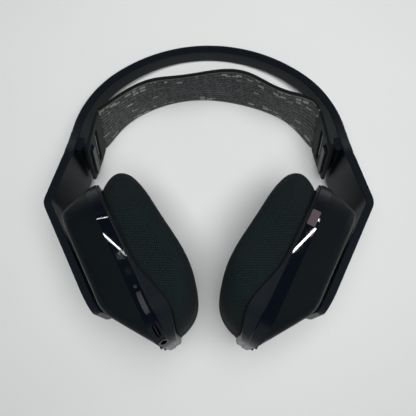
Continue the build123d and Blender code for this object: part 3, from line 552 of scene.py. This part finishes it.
def tube_rows(line, radius, level, sides=10, closed=False):
    """Rows round a line, as a tube. level is a direction that the line never follows."""
    line = np.asarray(line, float)
    if closed:
        ahead = np.roll(line, -1, 0) - np.roll(line, 1, 0)
    else:
        ahead = np.gradient(line, axis=0)
    ahead /= np.linalg.norm(ahead, axis=1)[:, None]
    side = np.cross(ahead, np.asarray(level, float))
    side /= np.linalg.norm(side, axis=1)[:, None]
    up = np.cross(side, ahead)
    turns = np.linspace(0, 2 * math.pi, sides, endpoint=False)[None, :, None]
    ring = np.cos(turns) * side[:, None] + np.sin(turns) * up[:, None]
    radius = np.broadcast_to(np.asarray(radius, float), len(line))
    return line[:, None] + ring * radius[:, None, None]


def surface(node):
    """Search tree of a CAD node's surface."""
    mesh = frame["nodes"][node].data
    corners = [face.vertices[:] for face in mesh.polygons]
    return BVHTree.FromPolygons([v.co for v in mesh.vertices], corners)


# Ear pads

PAD_POINTS = 148
PAD_HALF, EAR_HALF = 42.0, 19.5
EAR_TOP, EAR_END = -20.0, 38.0
PAD_TOP_R, PAD_END_R, EAR_R = 31.0, 26.0, 17.0
CROWN_TOP, CROWN_END = -24.0, 42.0
PAD_FLOOR = 28.3
CORNER_STEPS = 24
# where the pad's crown and its ring are felt for, millimetres on the cup's axes
PROBE_TOP = 80
PROBE_CROWN_N = 30.5
PROBE_LOW, PROBE_HIGH, PROBES = -30, 60, 46
PROBE_BEFORE, PROBE_BEYOND = -90, 120
NO_CROWN, NO_RING = 48.0, 25.0  # heights where a probe meets nothing
RIM_GAP = 0.4
# middle line of the ring's rim: straight sides, then an arc at each end
RIM_N = 40.4
RIM_TOP, RIM_TOP_IN, RIM_TOP_R = -9, 17, 23.4
RIM_END, RIM_END_IN, RIM_END_R = 41, 19, 21.4
PAD_EDGE_TOP, PAD_EDGE_END = -32, 61
PUFF_PRESSURE, PUFF_FRAMES = 2.5, 14
PUFF_CAP = 1.3 * MM  # no point of the cover swells further
HELD_ROWS = 4  # last rows that stay put as the cover swells, with the first one
LINING_ROWS = 4  # bands of faces that line the ear opening, down to the pad's floor
STITCH_ROW = 5  # row of PAD_CROWN that the stitches follow
CROWN_FROM = 0.2  # share of the way in where the crown's rows start
PAD_UNDER = (37.2, -29.5, 59.0, 21, 19)  # half width, ends and corner radii of the hidden underside
# outer wall from the ring up: share of the height, then inset from the widest outline at the sides
PAD_WALL = [
    (0.0, 2.0), (0.05, 0.95), (0.12, 0.35), (0.22, 0.05), (0.34, 0.0), (0.46, 0.0), (0.58, 0.1),
    (0.69, 0.45), (0.78, 1.05), (0.86, 1.9), (0.92, 3.0), (0.965, 4.5),
]
# top and inner wall: share of the way in to the ear opening, then how far below the crown
PAD_CROWN = [
    (0.3, 0.25), (0.42, 0.0), (0.55, 0.0), (0.68, 0.35), (0.8, 1.15), (0.9, 2.7), (0.96, 4.8),
    (1.0, 8.0), (1.0, 12.0), (1.0, 16.0),
]


def rounded_loop(half, low, high, low_r, high_r, count):
    """Points (n, t) evenly spaced round a rounded outline, from the middle of its front side."""
    corners = [
        (-1, high, high_r, 180), (1, high, high_r, 90), (1, low, low_r, 0), (-1, low, low_r, -90),
    ]
    middle = (low + high) / 2
    path = [(-half, middle)]
    for side, end, radius, first in corners:
        centre = (side * (half - radius), end - radius if end == high else end + radius)
        for step in range(CORNER_STEPS + 1):
            angle = math.radians(first - 90 * step / CORNER_STEPS)
            out = (radius * math.cos(angle), radius * math.sin(angle))
            path.append((centre[0] + out[0], centre[1] + out[1]))
    path.append((-half, middle))
    path = np.array(path)
    travelled = np.concatenate([[0], np.cumsum(np.linalg.norm(np.diff(path, axis=0), axis=1))])
    spots = np.linspace(0, travelled[-1], count, endpoint=False)
    return np.stack([np.interp(spots, travelled, path[:, axis]) for axis in (0, 1)], 1)


class PadShape:
    """Heights and ends of the CAD pad and of the ring that it stands on."""

    def __init__(self, cup):
        self.cup = cup
        self.pad = surface("ear_pad_" + cup.side)
        ring = surface("inner_ring_" + cup.side)
        self.spots = np.linspace(PROBE_LOW, PROBE_HIGH, PROBES)
        self.tops = [self.drop(self.pad, PROBE_CROWN_N, t, NO_CROWN) for t in self.spots]
        self.rims = [self.drop(ring, self.rim_n(t), t, NO_RING) + RIM_GAP for t in self.spots]

    def rim_n(self, t):
        """Middle of the ring's rim at a height t, which follows the cup's rounded outline."""
        if t < RIM_TOP:
            return RIM_TOP_IN + math.sqrt(max(RIM_TOP_R**2 - (t - RIM_TOP) ** 2, 0))
        if t > RIM_END:
            return RIM_END_IN + math.sqrt(max(RIM_END_R**2 - (t - RIM_END) ** 2, 0))
        return RIM_N

    def drop(self, tree, n, t, otherwise):
        """Height of a surface at a point, seen from the ear."""
        away = self.cup.reach(tree, (n, t, PROBE_TOP), -self.cup.p)
        return otherwise if away is None else PROBE_TOP - away

    def crown(self, t):
        """Height of the crown, which stays level over both ends."""
        return np.interp(np.clip(t, CROWN_TOP, CROWN_END), self.spots, self.tops)

    def rim(self, t):
        """Height of the ring's rim, where the cover begins."""
        return np.interp(t, self.spots, self.rims)

    def ends(self, share):
        """Ends of the pad's side view at a share of its height."""
        found = []
        sides = (
            (PROBE_BEFORE, self.cup.t, CROWN_TOP, PAD_EDGE_TOP, 1),
            (PROBE_BEYOND, -self.cup.t, CROWN_END, PAD_EDGE_END, -1),
        )
        for t, towards, mid, edge, way in sides:
            height = self.rim(edge) + share * (self.crown(mid) - self.rim(edge))
            away = self.cup.reach(self.pad, (0, t, height + 0.05), towards)
            found.append(t + way * away if away else mid)
        return found


def pad_rows(cup):
    """Rows of the pad's cover, from the ring over the crown into the ear opening and back below."""
    shape = PadShape(cup)
    rows = []
    for share, inset in PAD_WALL:
        low, high = shape.ends(share)
        low_r, high_r = max(PAD_TOP_R - inset, 20), max(PAD_END_R - inset, 18)
        loop = rounded_loop(PAD_HALF - inset, low, high, low_r, high_r, PAD_POINTS)
        rim, crown = shape.rim(loop[:, 1]), shape.crown(loop[:, 1])
        height = rim + share * (crown - rim)
        rows.append(np.column_stack([loop, height]))
    share, inset = PAD_WALL[-1]
    low, high = shape.ends(share)
    for way, fall in PAD_CROWN:
        part = (way - CROWN_FROM) / (1 - CROWN_FROM)
        half = PAD_HALF - inset + (EAR_HALF - PAD_HALF + inset) * part
        low_r = PAD_TOP_R + (EAR_R - PAD_TOP_R) * part
        high_r = PAD_END_R + (EAR_R - PAD_END_R) * part
        top, end = low + (EAR_TOP - low) * part, high + (EAR_END - high) * part
        loop = rounded_loop(half, top, end, min(low_r, half - 1), min(high_r, half - 1), PAD_POINTS)
        rows.append(np.column_stack([loop, shape.crown(loop[:, 1]) - fall]))
    hole = rows[-1][:, :2]
    rows.append(np.column_stack([hole, np.full(PAD_POINTS, PAD_FLOOR)]))
    under = rounded_loop(*PAD_UNDER, PAD_POINTS)
    rows.append(np.column_stack([under, np.full(PAD_POINTS, PAD_FLOOR)]))
    return np.array(rows)


def puff(piece, held):
    """Blow a piece up as cloth while its held points stay. Returns how far it swelled."""
    mesh = piece.data
    rest = np.array([v.co for v in mesh.vertices])
    group = piece.vertex_groups.new(name="held")
    group.add(held, 1.0, "REPLACE")
    cloth = piece.modifiers.new("Cloth", "CLOTH")
    settings = cloth.settings
    settings.vertex_group_mass = "held"
    settings.quality = 8
    settings.mass = 0.15
    settings.tension_stiffness = settings.compression_stiffness = 12
    settings.bending_stiffness = 0.4
    settings.use_pressure = True
    settings.uniform_pressure_force = PUFF_PRESSURE
    settings.effector_weights.gravity = 0
    cloth.point_cache.frame_start, cloth.point_cache.frame_end = 1, PUFF_FRAMES
    scene = bpy.context.scene
    for number in range(1, PUFF_FRAMES + 1):
        scene.frame_set(number)
    shown = piece.evaluated_get(bpy.context.evaluated_depsgraph_get()).data
    moved = np.array([v.co for v in shown.vertices]) - rest
    length = np.linalg.norm(moved, axis=1)
    moved *= np.minimum(1, PUFF_CAP / np.maximum(length, 1e-9))[:, None]
    piece.modifiers.remove(cloth)
    piece.vertex_groups.clear()
    scene.frame_set(1)
    mesh.vertices.foreach_set("co", (rest + moved).astype(np.float32).ravel())
    mesh.update()
    return length.max()


def make_pad(cup):
    """One ear pad: a mesh cover stretched over foam, with a lined ear opening."""
    rows = pad_rows(cup)
    skin = Skin()
    skin.add([cup.points(row) for row in rows], along=True)
    pad = skin.make("ear_pad_cover_" + cup.side, LOOKS["pad_cloth"], cup.body)
    pad.data.materials.append(LOOKS["scrim_cloth"].material)
    lining_from = len(PAD_WALL) + len(PAD_CROWN) - LINING_ROWS
    for number, face in enumerate(pad.data.polygons):
        if lining_from * PAD_POINTS <= number < (len(rows) - 2) * PAD_POINTS:
            face.material_index = 1
    held = [0, *range(len(rows) - HELD_ROWS, len(rows))]
    spots = [row * PAD_POINTS + k for row in held for k in range(PAD_POINTS)]
    swell = puff(pad, spots)
    print("pad swells by", round(swell / MM, 2), "mm")
    smooth = pad.modifiers.new("smooth", "SUBSURF")
    smooth.levels = smooth.render_levels = 1
    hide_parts("ear_pad_" + cup.side)
    welt_row = rows[0].copy()
    welt_row[:, 2] += 0.15
    welt = Skin()
    welt.add(tube_rows(cup.points(welt_row), 0.55 * MM, cup.p, 8, closed=True), along=True)
    welt.make("pad_welt_" + cup.side, LOOKS["hem_tape"], cup.body)
    make_pad_stitches(cup, rows[len(PAD_WALL) + STITCH_ROW])


def make_pad_stitches(cup, row):
    """Stitches that join the cover to the lining of the ear opening."""
    line = cup.points(row + np.array([0, 0, 0.12]))
    skin = Skin()
    for k in range(0, PAD_POINTS, 2):
        a, b = line[k], line[(k + 1) % PAD_POINTS]
        stitch = [a + (b - a) * share for share in (0.0, 0.25, 0.5, 0.75, 1.0)]
        radii = [r * MM for r in (0.08, 0.2, 0.24, 0.2, 0.08)]
        skin.add(tube_rows(stitch, radii, cup.p, 6), caps=True)
    skin.make("pad_stitches_" + cup.side, LOOKS["thread"], cup.body)


# Head strap

STRAP_COLUMNS = 170
RIB_STEPS = 7
STRAP_THICK, RIB_HEIGHT = 0.62, 0.2  # on either side of the middle surface
HEM_THICK, END_THICK = STRAP_THICK + 0.16, 0.3
HEM_RIBS = 0.45  # how far the flat hem reaches in, in ribs
HEM_R = 0.85 * MM
PROBE_FROM = 0.2  # metres before and behind the strap
END_IN = 0.006  # share of the length left free at each end
FOOT_BAND, HEAD_BAND = 2 * MM, 6 * MM
EDGE_LOW, EDGE_HIGH = 30 * MM, 60 * MM  # the strap's upper edge lies between these heights
BOTTOM_IN, TOP_IN = 0.3 * MM, 0.2 * MM


def strap_grid():
    """Middle surface of the CAD strap as a grid of points: along the strap, then up across it."""
    tree = surface("suspension_strap")
    points = np.array([v.co for v in frame["nodes"]["suspension_strap"].data.vertices])
    bottom = points[:, 2].min()
    feet = points[points[:, 2] < bottom + FOOT_BAND][:, 0]
    heads = points[points[:, 2] > points[:, 2].max() - HEAD_BAND][:, 0]

    def hits(x, z):
        """Y of the middle surface, or None beside the strap."""
        far = tree.ray_cast(Vector((x, PROBE_FROM, z)), Vector((0, -1, 0)))[0]
        near = tree.ray_cast(Vector((x, -PROBE_FROM, z)), Vector((0, 1, 0)))[0]
        return None if far is None or near is None else (far.y + near.y) / 2

    def top(x):
        """Height of the upper edge, by halving."""
        low, high = EDGE_LOW, EDGE_HIGH
        for _ in range(16):
            middle = (low + high) / 2
            low, high = (middle, high) if hits(x, middle) is not None else (low, middle)
        return low

    across = STRAP_RIBS * RIB_STEPS + 1
    grid = np.zeros((STRAP_COLUMNS, across, 3))
    low = bottom + BOTTOM_IN
    for i, s in enumerate(np.linspace(END_IN, 1 - END_IN, STRAP_COLUMNS)):
        foot = feet.min() + (feet.max() - feet.min()) * s
        head = heads.min() + (heads.max() - heads.min()) * s
        high = top(head) - TOP_IN
        last = None
        for j, w in enumerate(np.linspace(0, 1, across)):
            x, z = foot + (head - foot) * w, low + (high - low) * w
            y = hits(x, z)
            if y is None:
                y = last if last is not None else hits(x * 0.99, z + 0.5 * MM)
            last = y
            grid[i, j] = (x, y, z)
    return grid


def make_strap():
    """The elastic head strap: a ribbed knit on both faces, with rolled edges."""
    grid = strap_grid()
    width = np.linalg.norm(np.diff(grid, axis=1), axis=2).sum(1).mean()
    length = np.linalg.norm(np.diff(grid, axis=0), axis=2).sum(0).mean()
    along, across = np.gradient(grid, axis=0), np.gradient(grid, axis=1)
    normal = np.cross(along, across)
    normal /= np.linalg.norm(normal, axis=2)[:, :, None]
    step = np.linspace(0, STRAP_RIBS, grid.shape[1])
    ribs = np.abs(np.sin(np.pi * step))
    thick = (STRAP_THICK + RIB_HEIGHT * ribs) * MM
    edge = np.minimum(step, STRAP_RIBS - step)
    thick = np.where(edge < HEM_RIBS, HEM_THICK * MM, thick)
    thick[0] = thick[-1] = END_THICK * MM
    inner = grid - normal * thick[None, :, None]
    outer = grid + normal * thick[None, :, None]
    skin = Skin()
    skin.add(np.concatenate([inner, outer[:, ::-1]], axis=1), around=True, caps=True)
    strap = skin.make("head_strap", strap_look(width, length), "frame")
    lay_strap_weave(strap, grid.shape, width, length)
    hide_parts("suspension_strap")
    hem = Skin()
    top_line = grid[:, -1] + (grid[:, -1] - grid[:, -2]) * 0.3
    hem.add(tube_rows(top_line, HEM_R, (0, 0.2, 1)), caps=True)
    tape = hem.make("strap_hem", LOOKS["hem_tape"], "frame")


def lay_strap_weave(strap, shape, width, length):
    """Lay the strap's UV map flat: metres along it and up across it, the same on both faces."""
    columns, across = shape[:2]
    mesh = strap.data
    layer = mesh.uv_layers["weave"].data
    for face in mesh.polygons:
        for corner in face.loop_indices:
            column, spot = divmod(mesh.loops[corner].vertex_index, 2 * across)
            spot = spot if spot < across else 2 * across - 1 - spot
            layer[corner].uv = (length * column / (columns - 1), width * spot / (across - 1))


# Small marks on the controls

MARK_R, MARK_LINE, MARK_LIFT = 1.15, 0.11, 0.02  # millimetres
MARK_ARC = (125, 415)  # degrees: open towards the bar
MARK_BAR = (0.2, 0.8, 1.4)


def make_power_mark():
    """Plain on-off symbol raised on the power button: an open ring with a bar."""
    cup = Cup("left")
    low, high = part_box("power_button")
    above = (low + high) / 2 + cup.n * 20 * MM
    face = surface("power_button").ray_cast(above, -cup.n)[0] - cup.origin
    n, t, p = (face.dot(axis) / MM for axis in (cup.n, cup.t, cup.p))
    n += MARK_LIFT
    angles = [math.radians(angle) - math.pi for angle in np.linspace(*MARK_ARC, 28)]
    ring = [cup.at(n, t + MARK_R * math.cos(a), p + MARK_R * math.sin(a)) for a in angles]
    bar = [cup.at(n, t - s, p) for s in MARK_BAR]
    skin = Skin()
    for line in (ring, bar):
        skin.add(tube_rows(line, MARK_LINE * MM, cup.n, 6), caps=True)
    skin.make("power_mark", LOOKS["mark_ink"], "power_button")


# Stage

FLOOR_REACH, FLOOR_BELOW = 3.0, 0.1 * MM


def make_floor():
    """Plain pale floor under the headset."""
    look = Look("floor", (0.76, 0.775, 0.775), 0.6, Specular_IOR_Level=0.2)
    grain = look.noise(look.place(), 60 * MM, 2)
    look.set("Base Color", look.mix(grain, (0.75, 0.763, 0.763), (0.775, 0.788, 0.788)))
    level = CAD_LOW.z - FLOOR_BELOW
    mesh = bpy.data.meshes.new("floor")
    turns = ((-1, -1), (1, -1), (1, 1), (-1, 1))
    corners = [(x * FLOOR_REACH, y * FLOOR_REACH, level) for x, y in turns]
    mesh.from_pydata(corners, [], [(0, 1, 2, 3)])
    mesh.materials.append(look.material)
    floor = bpy.data.objects.new("floor", mesh)
    bpy.context.scene.collection.objects.link(floor)


SHADE_TOWARDS = Vector((0, 0.40, 0.92))
SHADE_FROM, SHADE_TO = 74, 46  # degrees from that direction: light beyond, dark within
SKY, SKY_SHADE = 0.22, 0.01
SKY_COLOUR = (0.97, 0.99, 1.0, 1)


def make_sky():
    """Soft light from all round, darker straight above, where the viewer leans over the table."""
    world = bpy.data.worlds.new("sky")
    world.use_nodes = True
    bpy.context.scene.world = world
    nodes, links = world.node_tree.nodes, world.node_tree.links
    place = nodes.new("ShaderNodeTexCoord")
    toward = nodes.new("ShaderNodeVectorMath")
    toward.operation = "DOT_PRODUCT"
    toward.inputs[1].default_value = SHADE_TOWARDS.normalized()
    ease = nodes.new("ShaderNodeMapRange")
    ease.interpolation_type = "SMOOTHSTEP"
    ease.inputs["From Min"].default_value = math.cos(math.radians(SHADE_FROM))
    ease.inputs["From Max"].default_value = math.cos(math.radians(SHADE_TO))
    ease.inputs["To Min"].default_value = SKY
    ease.inputs["To Max"].default_value = SKY_SHADE
    links.new(place.outputs["Generated"], toward.inputs[0])
    links.new(toward.outputs["Value"], ease.inputs["Value"])
    background = nodes["Background"]
    background.inputs["Color"].default_value = SKY_COLOUR
    links.new(ease.outputs["Result"], background.inputs["Strength"])


def make_light(name, place, aim, size, power, colour=(1, 1, 1)):
    """Rectangular studio light that faces a point."""
    data = bpy.data.lights.new(name, "AREA")
    data.shape = "RECTANGLE"
    data.size, data.size_y = size
    data.energy, data.color = power, colour
    light = bpy.data.objects.new(name, data)
    light.location = place
    light.rotation_euler = (Vector(aim) - Vector(place)).to_track_quat("-Z", "Y").to_euler()
    bpy.context.scene.collection.objects.link(light)
    return light


REAR_N = 43  # n of the cups' rear walls, millimetres
LAMP_HEIGHT, LAMP_RADIANCE = 0.9, 60
# name: side of the cup, the two spots (t, p) that its reflection joins, its width
LAMPS = {
    "lamp_left_upper": ("left", [(-8.0, 17.2), (-6.5, 22.8)], 3 * MM),
    "lamp_left_lower": ("left", [(1.5, 17.2), (16.0, 23.0)], 4 * MM),
    "lamp_right_upper": ("right", [(-14.0, 23.0), (-7.0, 18.0)], 4 * MM),
    "lamp_right_lower": ("right", [(-1.0, 18.0), (14.0, 23.0)], 6 * MM),
}


def bar_over(name, cup, spots, wide):
    """Narrow ceiling lamp that the camera sees in the cup's rear wall, between two spots on it."""
    eye = bpy.context.scene.camera.location
    ends = []
    for t, p in spots:
        spot = cup.at(REAR_N, t, p)
        ray = spot - eye
        away = ray - cup.n * (2 * ray.dot(cup.n))
        ends.append(spot + away * (LAMP_HEIGHT / away.z))
    middle = (ends[0] + ends[1]) / 2
    long = (ends[1] - ends[0]).length
    target = cup.at(REAR_N, *spots[0])
    lamp = make_light(name, middle, target, (long, wide), LAMP_RADIANCE * math.pi * long * wide)
    down = (target - middle).normalized()
    side = down.cross((ends[1] - ends[0]).normalized()).normalized()
    run = side.cross(down).normalized()
    lamp.rotation_euler = Matrix([[run[k], side[k], -down[k]] for k in range(3)]).to_euler()


def make_lights():
    """A wide softbox overhead, a window to one side and the narrow lamps."""
    softbox = make_light("softbox", (0.04, 0.03, 0.62), (0, 0, 0), (0.36, 0.36), 3.9)
    softbox.visible_glossy = False
    make_light("window", (0.9, 0.5, 0.55), (0, 0, 0), (0.5, 0.5), 0.8, (1.0, 0.99, 0.97))
    for name, (side, spots, wide) in LAMPS.items():
        bar_over(name, Cup(side), spots, wide)


make_camera()
make_floor()
make_sky()
finish_cad_nodes()
for side in SIDES:
    make_pad(Cup(side))
make_strap()
make_power_mark()
make_lights()
bpy.context.scene.view_settings.view_transform = "Standard"
